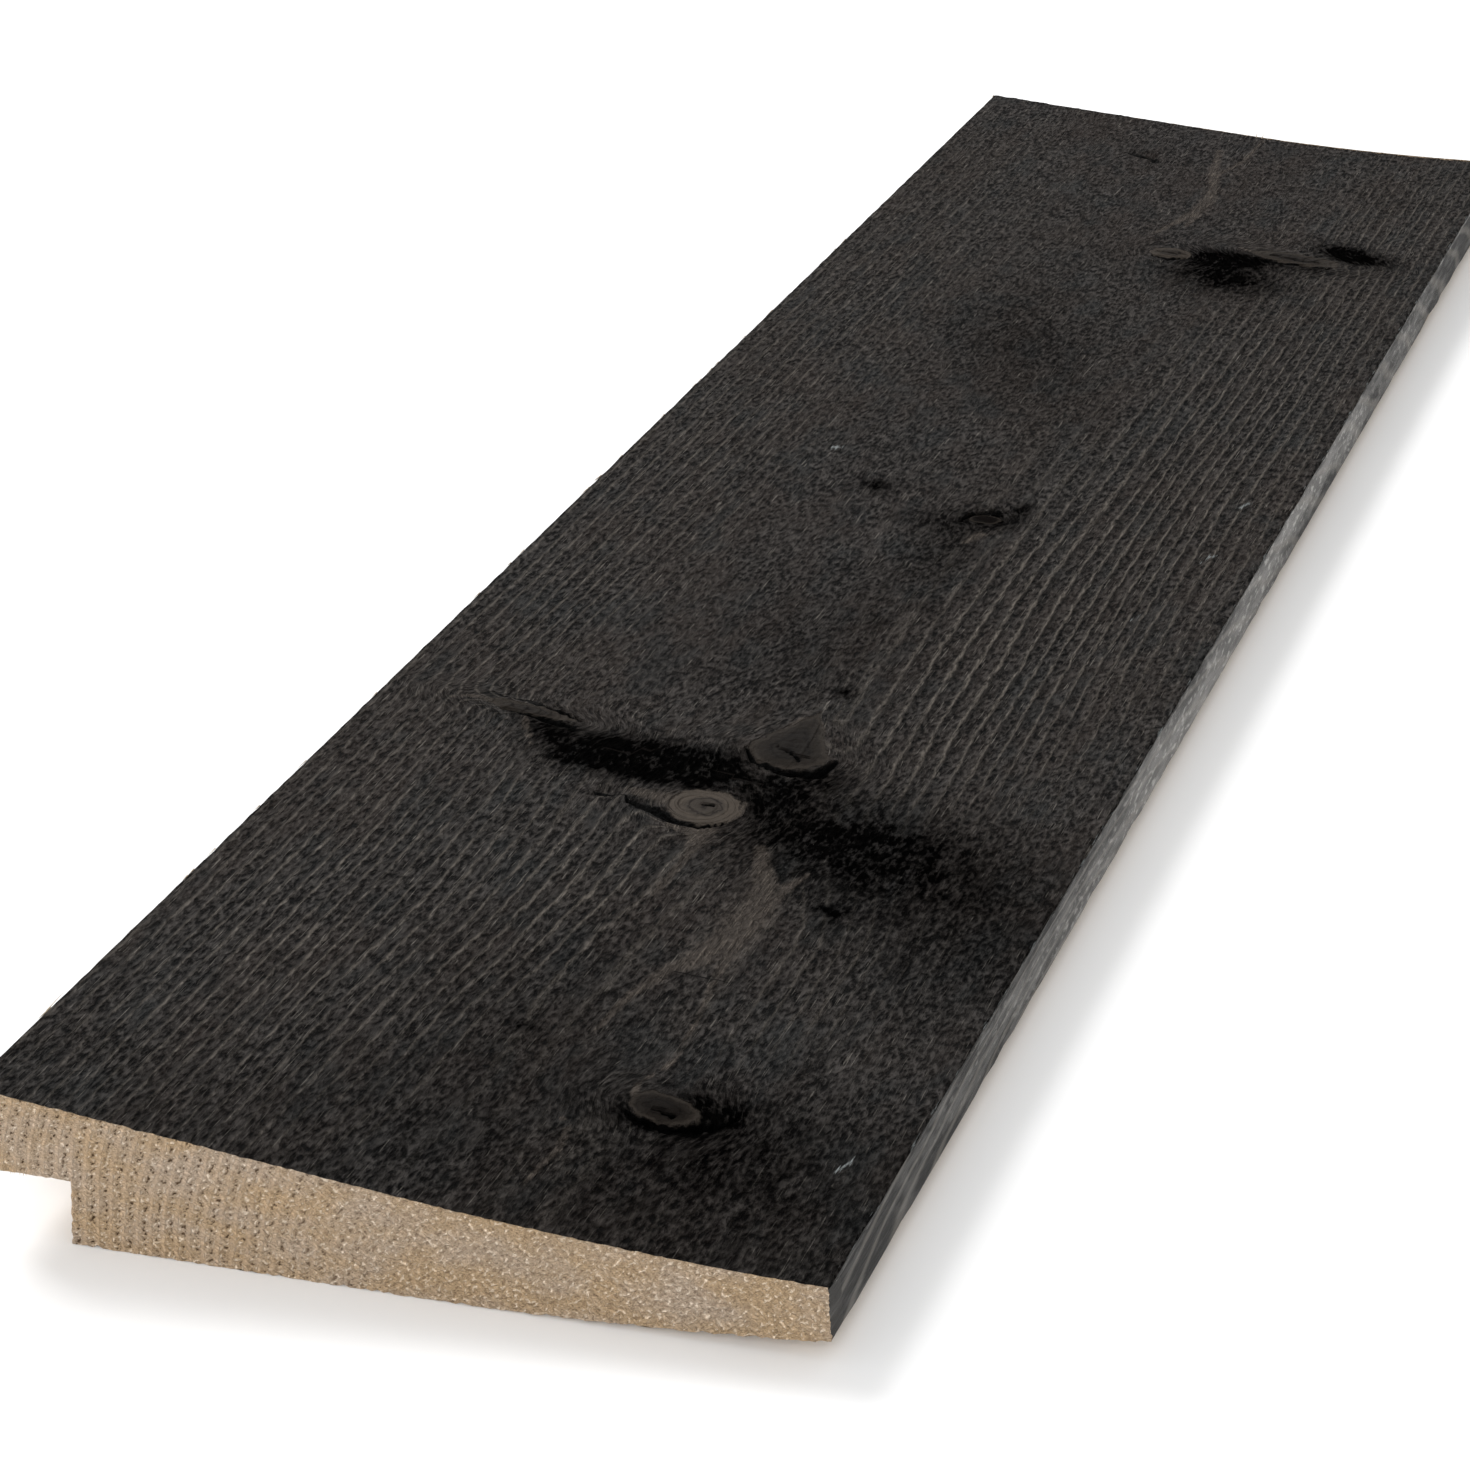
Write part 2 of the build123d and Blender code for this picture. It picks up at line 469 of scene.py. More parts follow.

# What the materials need to know at each vertex: rings, where it is as seen from the nearest knot,
# that knot's paleness, how darkened and how figured it is, how bare or lit by painted highlight, how
# split or darkened by painted shade, how worn or lit by painted sheen, and how far the grain is pushed
# aside
measured = {name: [] for name in (
    "growth", "knot_across", "knot_along", "knot_pale", "darkening", "figure", "bare_and_highlight", "split_and_shade", "sideways",
    "worn_and_sheen",
)}
for vertex in board.data.vertices:
    x, y, z = vertex.co / mm
    height = shaped(x, z)
    nearest = min(knots, key=lambda k: knot_distance(k, x, y))
    knot_across, knot_along = in_knot(nearest, x, y)
    away = hypot(knot_across, knot_along)
    pushed = sideways(x, y)
    rings = face_rings(x, y) if z > top else end_rings(x, height)
    worn_and_sheen = max(stroke(scuffs, x, y), -0.5) if z > top else patch(worn_and_sheen_patches, y, height)
    # A pale line along the arris of the thin edge, partly worn stain and partly painted highlight
    if z > top and x > right - touch:
        worn_and_sheen = 0.65 + 0.5 * noise.noise((2, y / 12, 5))
    if x > right - touch and z < top and abs(y) < far - touch:
        rings = side_rings(y, height)
    darkening = patch(dark_patches, x, y)
    figure = patch(figured_patches, x, y) * (1 - 0.8 * darkening)
    if abs(y) > far - touch and z < top:
        # The rings of an end are clear in its thick half and fade towards the thin edge
        figure = 0.15 + 0.85 / (1 + exp((x + 8) / 9))
    bare_and_highlight = stroke(bare_and_highlight_strokes, x, y)
    from_edge = max(min(x - left, right - x), 0)
    bare_and_highlight = max(bare_and_highlight, 0.5 - from_edge / 0.5 + noise.noise((x, y / 7, 5)))
    from_end = min(y - near, far - y)
    split_and_shade = stroke(splits_and_shade, x, y)
    if z > top:
        relief = nap_floor + nap_height * fuzz(x - pushed, y, 0, 1.8, 2.5)
        relief += ring_height * figure * cos(2 * pi * rings)
        relief += split_depth * min(max(split_and_shade * 1.5, 0), 1)
        if away < 1:
            relief -= nearest["dome"] * (1 - away**2)
        if from_edge < arris:
            relief += arris - sqrt(arris**2 - (arris - from_edge) ** 2)
        height -= max(relief, 0.02)
    if z < touch:
        height += 0.08 + 0.07 * fuzz(x, y, 7, 2.2, 2)
        if from_end < end_strip:
            height += tooth * max(noise.noise((x / tooth_width, 3, 0)), 0)
        if x > right - end_strip:
            height += chip * max(noise.noise((9, y / 9, 0)) + 0.5 * noise.noise((9, y / 2.5, 0)) - 0.1, 0)
    if abs(x - shoulder) < touch and z < seat + touch:
        x += rebate_lean * (height / seat - 0.5)
    if from_end < end_strip and x < shoulder + touch:
        if abs(z - seat) < touch:
            height += rebate_tooth * max(noise.noise((x / tooth_width, 11, 0)), 0)
        if z < seat - touch:
            x += shoulder_tooth * max(noise.noise((0, 13, height / tooth_width)), 0)
    end_relief = 0.32 + 0.3 * noise.noise((x / 1.1, y, height / 1.1))
    if y < near + touch:
        y += end_relief
    if y > far - touch:
        y -= end_relief
    side_relief = 0.25 + 0.2 * fuzz(3, y, z, 1.5, 4)
    if x > right - touch:
        x -= side_relief
    if x < left + touch:
        x += side_relief
    vertex.co = Vector((x, y, height)) * mm
    for name, value in (
        ("growth", rings), ("knot_across", knot_across), ("knot_along", knot_along),
        ("knot_pale", nearest["pale"] if away < 1.6 else -1), ("darkening", darkening), ("figure", figure),
        ("bare_and_highlight", bare_and_highlight), ("split_and_shade", split_and_shade), ("sideways", pushed), ("worn_and_sheen", worn_and_sheen),
    ):
        measured[name].append(value)
for name, values in measured.items():
    board.data.attributes.new(name, "FLOAT", "POINT").data.foreach_set("value", values)


def linear(colour):
    """The linear colour of an sRGB hex value."""
    parts = [int(colour[i:i + 2], 16) / 255 for i in (1, 3, 5)]
    return [p / 12.92 if p <= 0.04045 else ((p + 0.055) / 1.055) ** 2.4 for p in parts] + [1]


def add(kind, sockets=(), output=0, **settings):
    """Adds a node to the tree in hand, sets or links its sockets and returns one of its outputs."""
    node = tree.nodes.new(kind)
    for name, value in settings.items():
        setattr(node, name, value)
    for name, value in dict(sockets).items():
        if isinstance(value, bpy.types.NodeSocket):
            tree.links.new(value, node.inputs[name])
        elif isinstance(value, str):
            node.inputs[name].default_value = linear(value)
        else:
            node.inputs[name].default_value = value
    return node.outputs[output]


def new_material(name):
    """A material with an empty tree of nodes."""
    material = bpy.data.materials.new(name)
    material.use_nodes = True
    material.node_tree.nodes.clear()
    return material


def place_in_mm():
    """The point being shaded, in millimetres."""
    place = add("ShaderNodeTexCoord", output="Object")
    return add("ShaderNodeMapping", {"Vector": place, "Scale": (1 / mm,) * 3})


def finish_material(colour, roughness, specular, height, distance):
    """Joins the colour, the shine and the height map, in millimetres, to the shader."""
    bump = add("ShaderNodeBump", {"Height": height, "Distance": distance * mm, "Strength": 1.0})
    shader = add("ShaderNodeBsdfPrincipled", {
        "Base Color": colour, "Roughness": roughness, "Specular IOR Level": specular, "Normal": bump,
    })
    tree.links.new(shader, tree.nodes.new("ShaderNodeOutputMaterial").inputs["Surface"])


def grain(place, cell, detail, low, high, lean=0):
    """Noise in cells of a size in millimetres, from 0 at one level to 1 at another. The cells lean
    by some degrees as seen from the near end."""
    cells = add("ShaderNodeMapping", {
        "Vector": place, "Scale": cell, "Rotation": (0, -radians(lean), 0),
    }, vector_type="TEXTURE")
    speckle = add("ShaderNodeTexNoise", {
        "Vector": cells, "Scale": 1.0, "Detail": detail, "Roughness": 0.55,
    })
    return add("ShaderNodeMapRange", {
        "Value": speckle, "From Min": low, "From Max": high,
    }, interpolation_type="SMOOTHSTEP")


# Black-stained sawn softwood: matt and nearly black, furry and pitted from the saw, with a paler
# ridge, partly painted highlight, where the hard late wood of each ring stands up, and knots that show
# their own fine rings
stained = new_material("black_stained_sawn_softwood")
tree = stained.node_tree
place = place_in_mm()
pushed = add("ShaderNodeAttribute", output="Fac", attribute_name="sideways")
pushed = add("ShaderNodeCombineXYZ", {"X": pushed})
flow = add("ShaderNodeVectorMath", {0: place, 1: pushed}, operation="SUBTRACT")

# Clouds of colour, smoother areas and clumps of nap, then the tufts and pits of the nap itself and
# the fibres and hairs that stand out of it
clouds = grain(flow, (20, 50, 20), 3, 0.35, 0.65)
smooth = grain(flow, (5, 13, 5), 2, 0.44, 0.66)
clumps = grain(flow, (2.6, 6, 2.6), 2, 0.35, 0.65)
nap = (0.9, 1.9, 0.9)
tufts = grain(flow, nap, 3, 0.38, 0.64)
pits = grain(flow, nap, 3, 0.45, 0.34)
fibres = grain(flow, (0.3, 5, 0.3), 2, 0.5, 0.68)
hairs = grain(flow, (0.3, 8, 0.3), 1, 0.67, 0.74)
level = add("ShaderNodeMath", {0: smooth, 1: 0.35}, operation="MULTIPLY")
tufts = add("ShaderNodeMix", {0: level, 2: tufts, 3: 0.5}, data_type="FLOAT")
level = add("ShaderNodeMath", {0: smooth, 1: -0.5, 2: 1.0}, operation="MULTIPLY_ADD")
pits = add("ShaderNodeMath", {0: pits, 1: level}, operation="MULTIPLY")

# Growth rings: a narrow broken crest, the swell it stands on and a dark trough beside it, whose darkness
# is painted shade
rings = add("ShaderNodeAttribute", output="Fac", attribute_name="growth")
rings = add("ShaderNodeMath", {0: tufts, 1: 0.05, 2: rings}, operation="MULTIPLY_ADD")
rings = add("ShaderNodeMath", {0: clumps, 1: 0.12, 2: rings}, operation="MULTIPLY_ADD")
rings = add("ShaderNodeMath", {0: rings, 1: 0.085}, operation="SUBTRACT")
part = add("ShaderNodeMath", {0: rings}, operation="FRACT")
beside = add("ShaderNodeMath", {0: part, 1: 0.73}, operation="SUBTRACT")
beside = add("ShaderNodeMath", {0: beside}, operation="ABSOLUTE")
painted_trough_shade = add("ShaderNodeMapRange", {
    "Value": beside, "From Min": 0.22, "From Max": 0.05,
}, interpolation_type="SMOOTHSTEP")
part = add("ShaderNodeMath", {0: part, 1: 0.5}, operation="SUBTRACT")
part = add("ShaderNodeMath", {0: part}, operation="ABSOLUTE")
swell = add("ShaderNodeMapRange", {
    "Value": part, "From Min": 0.26, "From Max": 0.04,
}, interpolation_type="SMOOTHSTEP")
crest = add("ShaderNodeMapRange", {
    "Value": part, "From Min": 0.13, "From Max": 0.02,
}, interpolation_type="SMOOTHSTEP")
figure = add("ShaderNodeAttribute", output="Fac", attribute_name="figure")
broken = grain(flow, (0.5, 6, 0.5), 3, 0.36, 0.6)
crest = add("ShaderNodeMath", {0: crest, 1: broken}, operation="MULTIPLY")
crest = add("ShaderNodeMath", {0: crest, 1: figure}, operation="MULTIPLY")
swell = add("ShaderNodeMath", {0: swell, 1: figure}, operation="MULTIPLY")
painted_trough_shade = add("ShaderNodeMath", {0: painted_trough_shade, 1: figure}, operation="MULTIPLY")

# The colour of the nap, from its pits up to its hairs: painted light on the raised tufts, painted shade
# in the pits and troughs, and paler crests and hairs that are partly painted highlights
tuft_tone_and_light = add("ShaderNodeMath", {0: clumps, 1: 0.3, 2: -0.15}, operation="MULTIPLY_ADD")
tuft_tone_and_light = add("ShaderNodeMath", {0: tufts, 1: 1.0, 2: tuft_tone_and_light}, operation="MULTIPLY_ADD", use_clamp=True)
colour = add("ShaderNodeMix", {0: tuft_tone_and_light, 6: "#141211", 7: "#413e3c"}, output=2, data_type="RGBA")
tone = add("ShaderNodeMath", {0: clouds, 1: 0.3}, operation="MULTIPLY")
colour = add("ShaderNodeMix", {0: tone, 6: colour, 7: "#382e28"}, output=2, data_type="RGBA")
chill = add("ShaderNodeMath", {0: grain(place, (9, 18, 9), 3, 0.48, 0.7), 1: 0.35}, operation="MULTIPLY")
colour = add("ShaderNodeMix", {0: chill, 6: colour, 7: "#252b2d"}, output=2, data_type="RGBA")
lift = add("ShaderNodeMath", {0: fibres, 1: 0.2}, operation="MULTIPLY")
colour = add("ShaderNodeMix", {0: lift, 6: colour, 7: "#625d59"}, output=2, data_type="RGBA")
lift = add("ShaderNodeMath", {0: swell, 1: 0.34}, operation="MULTIPLY")
colour = add("ShaderNodeMix", {0: lift, 6: colour, 7: "#5f5a54"}, output=2, data_type="RGBA")
# Painted shade in the pits and in the troughs beside the crests
painted_shade = add("ShaderNodeMath", {0: pits, 1: 0.85}, operation="MULTIPLY")
painted_shade = add("ShaderNodeMath", {0: painted_trough_shade, 1: 0.5, 2: painted_shade}, operation="MULTIPLY_ADD", use_clamp=True)
colour = add("ShaderNodeMix", {0: painted_shade, 6: colour, 7: "#080808"}, output=2, data_type="RGBA")
# Crests and hairs: paler fibres, partly painted highlight
lift = add("ShaderNodeMath", {0: crest, 1: 0.7}, operation="MULTIPLY")
colour = add("ShaderNodeMix", {0: lift, 6: colour, 7: "#766f67"}, output=2, data_type="RGBA")
lift = add("ShaderNodeMath", {0: hairs, 1: 0.45}, operation="MULTIPLY")
colour = add("ShaderNodeMix", {0: lift, 6: colour, 7: "#918b83"}, output=2, data_type="RGBA")

# Darker patches beside the knots
darkening = add("ShaderNodeAttribute", output="Fac", attribute_name="darkening")
ragged = add("ShaderNodeMath", {0: clumps, 1: -0.3, 2: 0.42}, operation="MULTIPLY_ADD")
ragged = add("ShaderNodeMath", {0: tufts, 1: -0.35, 2: ragged}, operation="MULTIPLY_ADD")
ragged = add("ShaderNodeMath", {0: ragged, 1: darkening}, operation="MULTIPLY")
darkening = add("ShaderNodeMath", {0: darkening, 1: ragged}, operation="ADD", use_clamp=True)
darkened = add("ShaderNodeMath", {0: darkening, 1: 0.97}, operation="MULTIPLY")
colour = add("ShaderNodeMix", {0: darkened, 6: colour, 7: "#030303"}, output=2, data_type="RGBA")

# Bare streaks and the painted highlights on the knots' upper rims, then lint and scuffs and a pale line
# along the thin edge's arris that is partly painted highlight
bare_and_highlight = add("ShaderNodeAttribute", output="Fac", attribute_name="bare_and_highlight")
bare_and_highlight = add("ShaderNodeMath", {0: tufts, 1: 0.35, 2: bare_and_highlight}, operation="MULTIPLY_ADD")
bare_and_highlight = add("ShaderNodeMapRange", {
    "Value": bare_and_highlight, "From Min": -0.1, "From Max": 0.9,
}, interpolation_type="SMOOTHSTEP")
bare_and_highlight = add("ShaderNodeMath", {0: bare_and_highlight, 1: 0.85}, operation="MULTIPLY")
wood = add("ShaderNodeMix", {0: fibres, 6: "#453f3a", 7: "#675f57"}, output=2, data_type="RGBA")
colour = add("ShaderNodeMix", {0: bare_and_highlight, 6: colour, 7: wood}, output=2, data_type="RGBA")
lint_and_arris_highlight = add("ShaderNodeAttribute", output="Fac", attribute_name="worn_and_sheen")
lint_and_arris_highlight = add("ShaderNodeMath", {0: fibres, 1: 0.7, 2: lint_and_arris_highlight}, operation="MULTIPLY_ADD")
lint_and_arris_highlight = add("ShaderNodeMapRange", {
    "Value": lint_and_arris_highlight, "From Min": 0.3, "From Max": 1.0,
}, interpolation_type="SMOOTHSTEP")
colour = add("ShaderNodeMix", {0: lint_and_arris_highlight, 6: colour, 7: "#8f9494"}, output=2, data_type="RGBA")

# Knots: a lighter rim, a thin dark ring inside it and a dark heart
across = add("ShaderNodeAttribute", output="Fac", attribute_name="knot_across")
along = add("ShaderNodeAttribute", output="Fac", attribute_name="knot_along")
seen = add("ShaderNodeCombineXYZ", {"X": across, "Y": along})
away = add("ShaderNodeVectorMath", {0: seen}, output="Value", operation="LENGTH")
wobble = grain(place, (2.0, 2.0, 2.0), 3, 0.2, 0.8)
away = add("ShaderNodeMath", {0: wobble, 1: 0.2, 2: away}, operation="MULTIPLY_ADD")
inside = add("ShaderNodeMapRange", {
    "Value": away, "From Min": 1.2, "From Max": 1.08,
}, interpolation_type="SMOOTHSTEP")
knot_wood = add("ShaderNodeValToRGB", {"Fac": away})
ramp = knot_wood.node.color_ramp
ramp_end = 1.2
tints = (
    (0.0, "#171412"), (0.2, "#1e1b19"), (0.3, "#37322e"), (0.6, "#3f3a35"), (0.68, "#262220"),
    (0.75, "#3d3833"), (0.95, "#4e4740"), (1.15, "#453f39"),
)
while len(ramp.elements) < len(tints):
    ramp.elements.new(0.5)
for element, (distance, tint) in zip(ramp.elements, tints):
    element.position = distance / ramp_end
    element.color = linear(tint)
pale = add("ShaderNodeAttribute", output="Fac", attribute_name="knot_pale")
rim = add("ShaderNodeMapRange", {
    "Value": away, "From Min": 0.85, "From Max": 1.05, "To Max": 0.25,
}, interpolation_type="SMOOTHSTEP")
pale = add("ShaderNodeMath", {0: pale, 1: rim}, operation="ADD", use_clamp=True)
knot_wood = add("ShaderNodeMix", {0: pale, 6: "#100e0d", 7: knot_wood}, output=2, data_type="RGBA")
colour = add("ShaderNodeMix", {0: inside, 6: colour, 7: knot_wood}, output=2, data_type="RGBA")

# Splits, painted black to the bottom: painted shade in the grooves and under the knots' lower edges
split_and_shade = add("ShaderNodeAttribute", output="Fac", attribute_name="split_and_shade")
split_and_shade = add("ShaderNodeMath", {0: tufts, 1: 0.4, 2: split_and_shade}, operation="MULTIPLY_ADD")
split_and_shade = add("ShaderNodeMapRange", {
    "Value": split_and_shade, "From Min": 0.05, "From Max": 0.45,
}, interpolation_type="SMOOTHSTEP")
colour = add("ShaderNodeMix", {0: split_and_shade, 6: colour, 7: "#030303"}, output=2, data_type="RGBA")

# The nap's fine relief, which is calmer on the knots
height = add("ShaderNodeMath", {0: pits, 1: -0.8, 2: tufts}, operation="MULTIPLY_ADD")
height = add("ShaderNodeMath", {0: clumps, 1: 0.8, 2: height}, operation="MULTIPLY_ADD")
height = add("ShaderNodeMath", {0: fibres, 1: 0.25, 2: height}, operation="MULTIPLY_ADD")
height = add("ShaderNodeMath", {0: hairs, 1: 0.3, 2: height}, operation="MULTIPLY_ADD")
calm = add("ShaderNodeMapRange", {"Value": inside, "To Min": 1.0, "To Max": 0.2})
height = add("ShaderNodeMath", {0: height, 1: calm}, operation="MULTIPLY")
height = add("ShaderNodeMath", {0: swell, 1: 1.0, 2: height}, operation="MULTIPLY_ADD")
shine = add("ShaderNodeMapRange", {"Value": darkening, "To Min": 0.06, "To Max": 0.0})
finish_material(colour, 0.85, shine, height, 0.95)

# Stained sides: the same stain on a smoother edge, rubbed to a pale, slightly glossy grey in
# patches that also carry painted sheen, with the growth rings as nested arches and fine scratches along
# the board
edge = new_material("black_stained_edge_grain")
tree = edge.node_tree
place = place_in_mm()
worn_and_sheen = add("ShaderNodeAttribute", output="Fac", attribute_name="worn_and_sheen")
clouds = grain(place, (2.2, 14, 2.2), 4, 0.34, 0.66)
fibres = grain(place, (0.35, 7, 0.35), 3, 0.42, 0.7)
rubs_and_sheen = grain(place, (1.0, 3.0, 1.0), 4, 0.52, 0.68)
rings = add("ShaderNodeAttribute", output="Fac", attribute_name="growth")
part = add("ShaderNodeMath", {0: rings}, operation="FRACT")
part = add("ShaderNodeMath", {0: part, 1: 0.5}, operation="SUBTRACT")
part = add("ShaderNodeMath", {0: part}, operation="ABSOLUTE")
arch = add("ShaderNodeMapRange", {
    "Value": part, "From Min": 0.22, "From Max": 0.03,
}, interpolation_type="SMOOTHSTEP")
rubbed_and_sheen = add("ShaderNodeMath", {0: clouds, 1: 0.5, 2: -0.25}, operation="MULTIPLY_ADD")
rubbed_and_sheen = add("ShaderNodeMath", {0: worn_and_sheen, 1: rubbed_and_sheen}, operation="ADD", use_clamp=True)
colour = add("ShaderNodeMix", {0: rubbed_and_sheen, 6: "#282726", 7: "#72706d"}, output=2, data_type="RGBA")
lift = add("ShaderNodeMath", {0: arch, 1: 0.25}, operation="MULTIPLY")
colour = add("ShaderNodeMix", {0: lift, 6: colour, 7: "#a39d94"}, output=2, data_type="RGBA")
lift = add("ShaderNodeMath", {0: fibres, 1: 0.12}, operation="MULTIPLY")
colour = add("ShaderNodeMix", {0: lift, 6: colour, 7: "#82807c"}, output=2, data_type="RGBA")
# Painted sheen together with the rubbing, in the paler patches
lift = add("ShaderNodeMath", {0: rubs_and_sheen, 1: worn_and_sheen}, operation="MULTIPLY")
colour = add("ShaderNodeMix", {0: lift, 6: colour, 7: "#b3b1ac"}, output=2, data_type="RGBA")
gloss = add("ShaderNodeMapRange", {"Value": rubbed_and_sheen, "To Min": 0.6, "To Max": 0.42})
shine = add("ShaderNodeMapRange", {"Value": rubbed_and_sheen, "To Min": 0.15, "To Max": 0.25})
height = add("ShaderNodeMath", {0: arch, 1: 0.6, 2: fibres}, operation="MULTIPLY_ADD")
height = add("ShaderNodeMath", {0: clouds, 1: 0.6, 2: height}, operation="MULTIPLY_ADD")
finish_material(colour, gloss, shine, height, 0.15)

# Bare end grain: pale wood torn by a coarse saw into knobbly rows, one for each growth ring, with
# dark pores between them painted as shade in the knobs' hollows, and painted highlight on the knobs' tops
ends = new_material("bare_sawn_end_grain")
tree = ends.node_tree
place = place_in_mm()
rings = add("ShaderNodeAttribute", output="Fac", attribute_name="growth")
clear = add("ShaderNodeAttribute", output="Fac", attribute_name="figure")
knob = (1.0, 3, 0.6)
bumps = grain(place, knob, 3, 0.36, 0.64, lean=38)
painted_tip_highlight = grain(place, knob, 3, 0.53, 0.66, lean=38)
pits = grain(place, knob, 3, 0.47, 0.36, lean=38)
weave = grain(place, (1.3, 3, 0.45), 3, 0.38, 0.62, lean=-40)
clouds = grain(place, (14, 3, 8), 3, 0.35, 0.65)
wander = add("ShaderNodeMath", {0: bumps, 1: 0.12, 2: rings}, operation="MULTIPLY_ADD")
part = add("ShaderNodeMath", {0: wander}, operation="FRACT")
beside = add("ShaderNodeMath", {0: part, 1: 0.74}, operation="SUBTRACT")
beside = add("ShaderNodeMath", {0: beside}, operation="ABSOLUTE")
row = add("ShaderNodeMapRange", {
    "Value": beside, "From Min": 0.26, "From Max": 0.08,
}, interpolation_type="SMOOTHSTEP")
row = add("ShaderNodeMath", {0: row, 1: clear}, operation="MULTIPLY")
part = add("ShaderNodeMath", {0: part, 1: 0.42}, operation="SUBTRACT")
part = add("ShaderNodeMath", {0: part}, operation="ABSOLUTE")
late = add("ShaderNodeMapRange", {
    "Value": part, "From Min": 0.2, "From Max": 0.08,
}, interpolation_type="SMOOTHSTEP")
late = add("ShaderNodeMath", {0: late, 1: clear}, operation="MULTIPLY")
torn = add("ShaderNodeMath", {0: late, 1: -0.75, 2: 1.0}, operation="MULTIPLY_ADD")
colour = add("ShaderNodeMix", {0: clouds, 6: "#ddbe98", 7: "#ddc6ae"}, output=2, data_type="RGBA")
lift = add("ShaderNodeMath", {0: weave, 1: 0.3}, operation="MULTIPLY")
colour = add("ShaderNodeMix", {0: lift, 6: colour, 7: "#917a61"}, output=2, data_type="RGBA")
lift = add("ShaderNodeMath", {0: late, 1: 0.35}, operation="MULTIPLY")
colour = add("ShaderNodeMix", {0: lift, 6: colour, 7: "#9d8772"}, output=2, data_type="RGBA")
# Painted highlight on the tops of the knobs
lift = add("ShaderNodeMath", {0: painted_tip_highlight, 1: torn}, operation="MULTIPLY")
lift = add("ShaderNodeMath", {0: lift, 1: 0.5}, operation="MULTIPLY")
colour = add("ShaderNodeMix", {0: lift, 6: colour, 7: "#eaddcb"}, output=2, data_type="RGBA")
# Painted shade in the hollows between the knobs, darkest in a row beside each ring
lift = add("ShaderNodeMath", {0: row, 1: 0.5, 2: 0.5}, operation="MULTIPLY_ADD")
lift = add("ShaderNodeMath", {0: lift, 1: torn}, operation="MULTIPLY")
lift = add("ShaderNodeMath", {0: lift, 1: pits}, operation="MULTIPLY")
colour = add("ShaderNodeMix", {0: lift, 6: colour, 7: "#4d3a28"}, output=2, data_type="RGBA")
height = add("ShaderNodeMath", {0: bumps, 1: torn}, operation="MULTIPLY")
height = add("ShaderNodeMath", {0: row, 1: -0.4, 2: height}, operation="MULTIPLY_ADD")
height = add("ShaderNodeMath", {0: weave, 1: 0.4, 2: height}, operation="MULTIPLY_ADD")
finish_material(colour, 0.9, 0.1, height, 0.9)

# Bare back: the same wood sawn along the grain, paler and finer than the ends
back = new_material("bare_sawn_back")
tree = back.node_tree
place = place_in_mm()
clouds = grain(place, (8, 70, 8), 3, 0.35, 0.65)
fibres = grain(place, (0.6, 6, 0.6), 3, 0.4, 0.7)
colour = add("ShaderNodeMix", {0: clouds, 6: "#b79d7c", 7: "#c9b292"}, output=2, data_type="RGBA")
lift = add("ShaderNodeMath", {0: fibres, 1: 0.5}, operation="MULTIPLY")
colour = add("ShaderNodeMix", {0: lift, 6: colour, 7: "#97795a"}, output=2, data_type="RGBA")
finish_material(colour, 0.8, 0.25, fibres, 0.2)

for material in (stained, edge, ends, back):
    board.data.materials.append(material)
bpy.ops.object.select_all(action="DESELECT")
board.select_set(True)
bpy.context.view_layer.objects.active = board
bpy.ops.object.shade_smooth_by_angle(angle=radians(50))
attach(board, "root")
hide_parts("cladding_board")

# Loose fibres
# Hairs and splinters that the saw tore along the edges and that never broke off: bare softwood,
# no thicker than a thread. Each is a thin cone: its foot, which is sunk in the wood, how it leans
# and turns, and its length.
foot_radius = 0.13
tip_radius = 0.02
noise.seed_set(7)
splinters = []

# Under the near end's lower edge, under its rebated lip and along the thick edge of the face
for index in range(46):
    x = -55 + 127 * noise.random()
    length = 0.5 + 1.2 * noise.random() * min(max(back_height(x), 0.3), 1)
    splinters.append((x, near + 1.3, back_height(x) + 1.1, 150 + 60 * noise.random(), -20, length))
for index in range(14):
    x = left + 1 + 15 * noise.random()
    splinters.append((x, near + 0.9, seat + 0.7, 160 + 40 * noise.random(), 0, 1.3))
for index in range(26):
    y = near + 4 + 560 * noise.random()
    lean = 84 + 8 * noise.random()
    splinters.append((left + 0.25, y, thick_edge - 1.1, lean, -2, 1.5 + 3 * noise.random()))

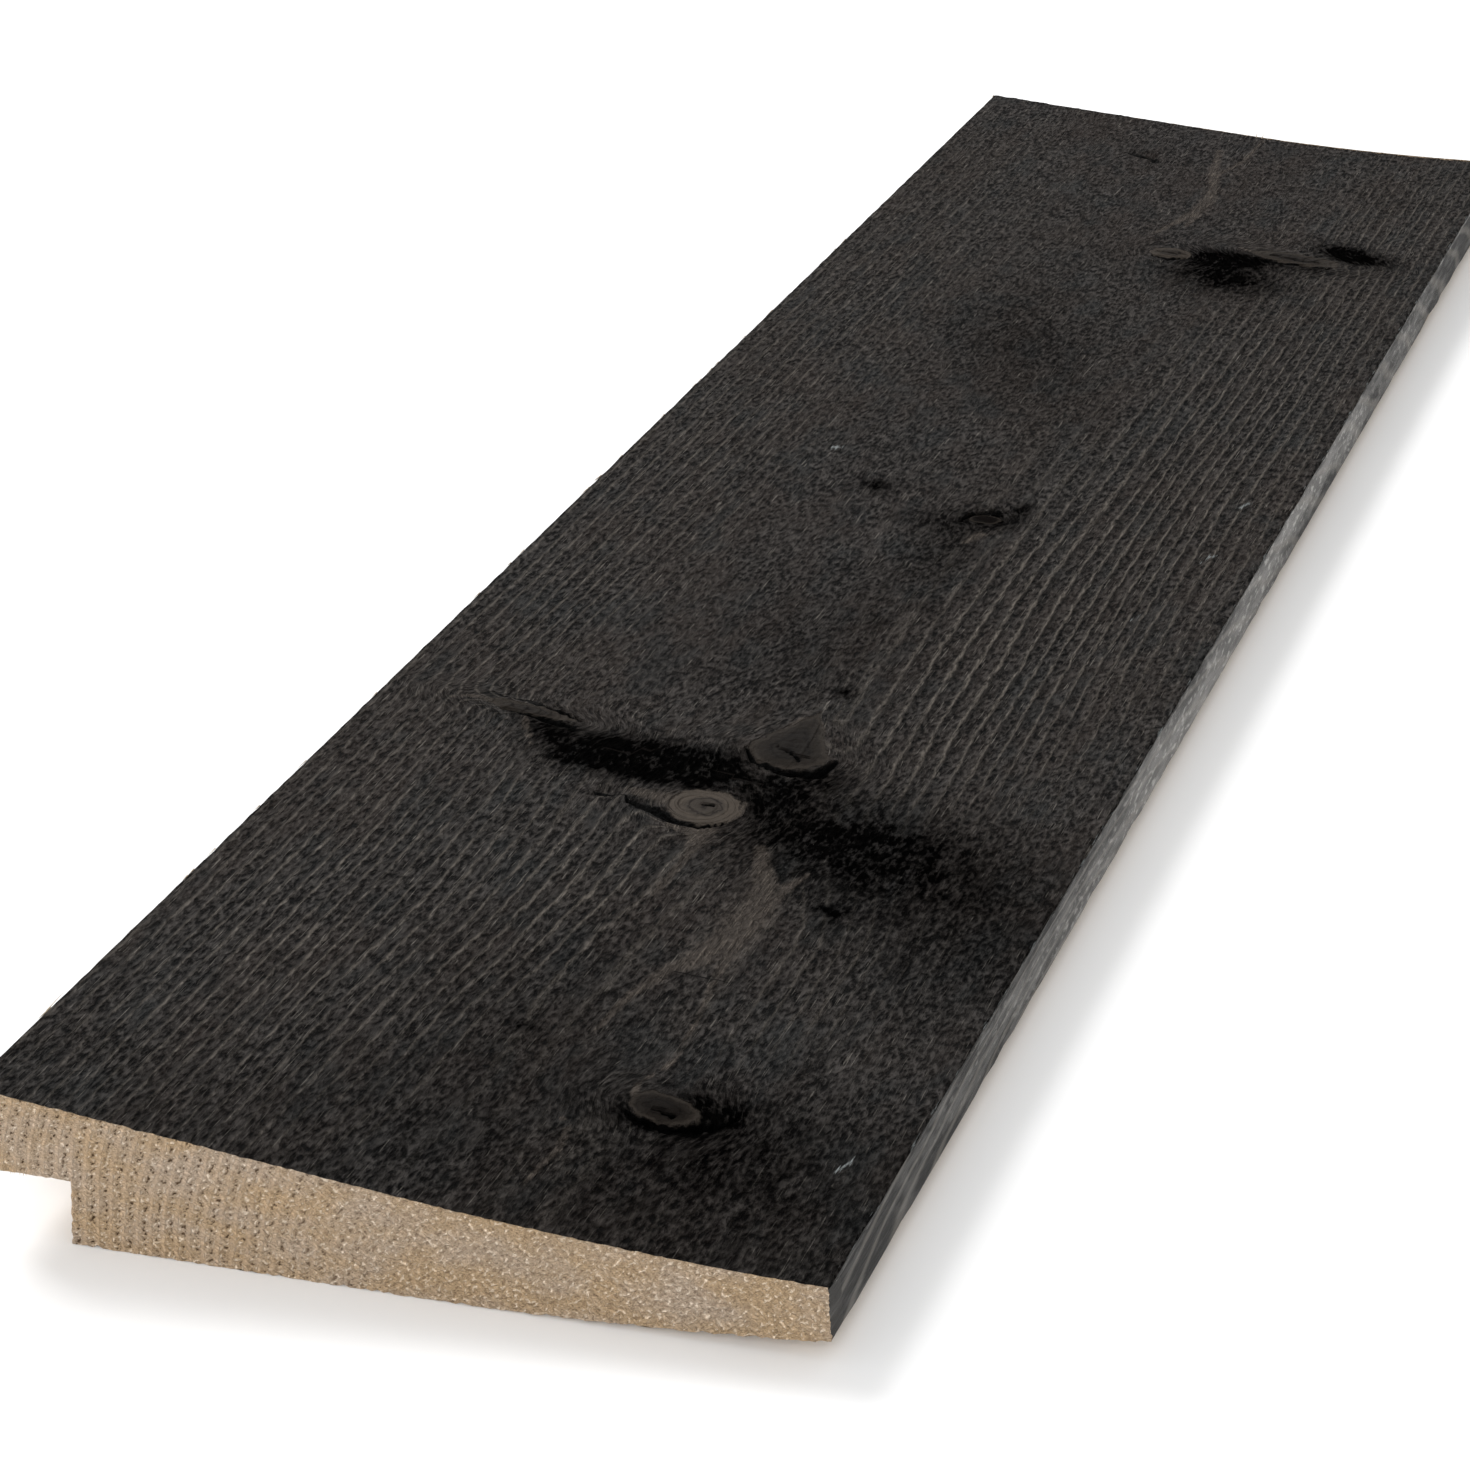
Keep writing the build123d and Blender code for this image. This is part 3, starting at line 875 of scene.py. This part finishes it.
# A long one on the thick edge and two on the far end
splinters.append((left + 0.2, -259, thick_edge - 1.0, -87, 0, 6))
splinters.append((4.5, far - 0.7, face_height(4.5) - 0.6, 12, 10, 2.6))
splinters.append((6.0, far - 0.7, face_height(6) - 0.6, -8, 25, 1.8))
bpy.ops.object.select_all(action="DESELECT")
for index, (x, y, z, lean, twist, length) in enumerate(splinters):
    turn = Vector((0, 0, 1))
    turn.rotate(Euler((radians(lean), radians(twist), 0)))
    bpy.ops.mesh.primitive_cone_add(
        vertices=4, radius1=foot_radius * mm, radius2=tip_radius * mm, depth=length * mm,
        location=(Vector((x, y, z)) + turn * length / 2) * mm,
        rotation=(radians(lean), radians(twist), 0),
    )
    if index == 0:
        fibre = bpy.context.object
        bpy.ops.object.transform_apply(location=True, rotation=True, scale=True)
        bpy.ops.object.mode_set(mode="EDIT")
bpy.ops.object.mode_set(mode="OBJECT")
fibre.name = fibre.data.name = "loose_fibres"

# Bare softwood fibre: the pale wood of the ends, a little silky because it was torn and not cut
thread = new_material("bare_softwood_fibre")
tree = thread.node_tree
place = place_in_mm()
clouds = grain(place, (1, 4, 1), 2, 0.3, 0.7)
colour = add("ShaderNodeMix", {0: clouds, 6: "#a08a70", 7: "#cdbca6"}, output=2, data_type="RGBA")
finish_material(colour, 0.7, 0.3, 0.0, 0.1)
fibre.data.materials.append(thread)
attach(fibre, "root")

# Floor and light
# A pale floor that stays white behind the board and keeps its shadow, and a soft studio.
bpy.ops.object.select_all(action="DESELECT")
bpy.ops.mesh.primitive_plane_add(size=12)
floor = bpy.context.object
floor.name = "floor"

# White matt paint, which shows nothing but the shadow
paint = new_material("white_floor")
tree = paint.node_tree
finish_material("#f4f4f4", 0.9, 0.2, 0.0, 0.1)
floor.data.materials.append(paint)

# An even white studio, a soft window behind on the left and a softbox in front
world = bpy.data.worlds.new("studio")
bpy.context.scene.world = world
world.use_nodes = True
world.node_tree.nodes["Background"].inputs["Color"].default_value = linear("#ffffff")
world.node_tree.nodes["Background"].inputs["Strength"].default_value = 0.75
for name, place, angles, size, power in (
    ("window", (-1.4, 0.8, 1.6), (45, 0, -119), 0.9, 36),
    ("front", (0.5, -2.3, 1.3), (61, 0, 12), 1.4, 28),
):
    bpy.ops.object.light_add(type="AREA", location=place, rotation=[radians(a) for a in angles])
    lamp = bpy.context.object
    lamp.name = name
    lamp.data.size = size
    lamp.data.energy = power
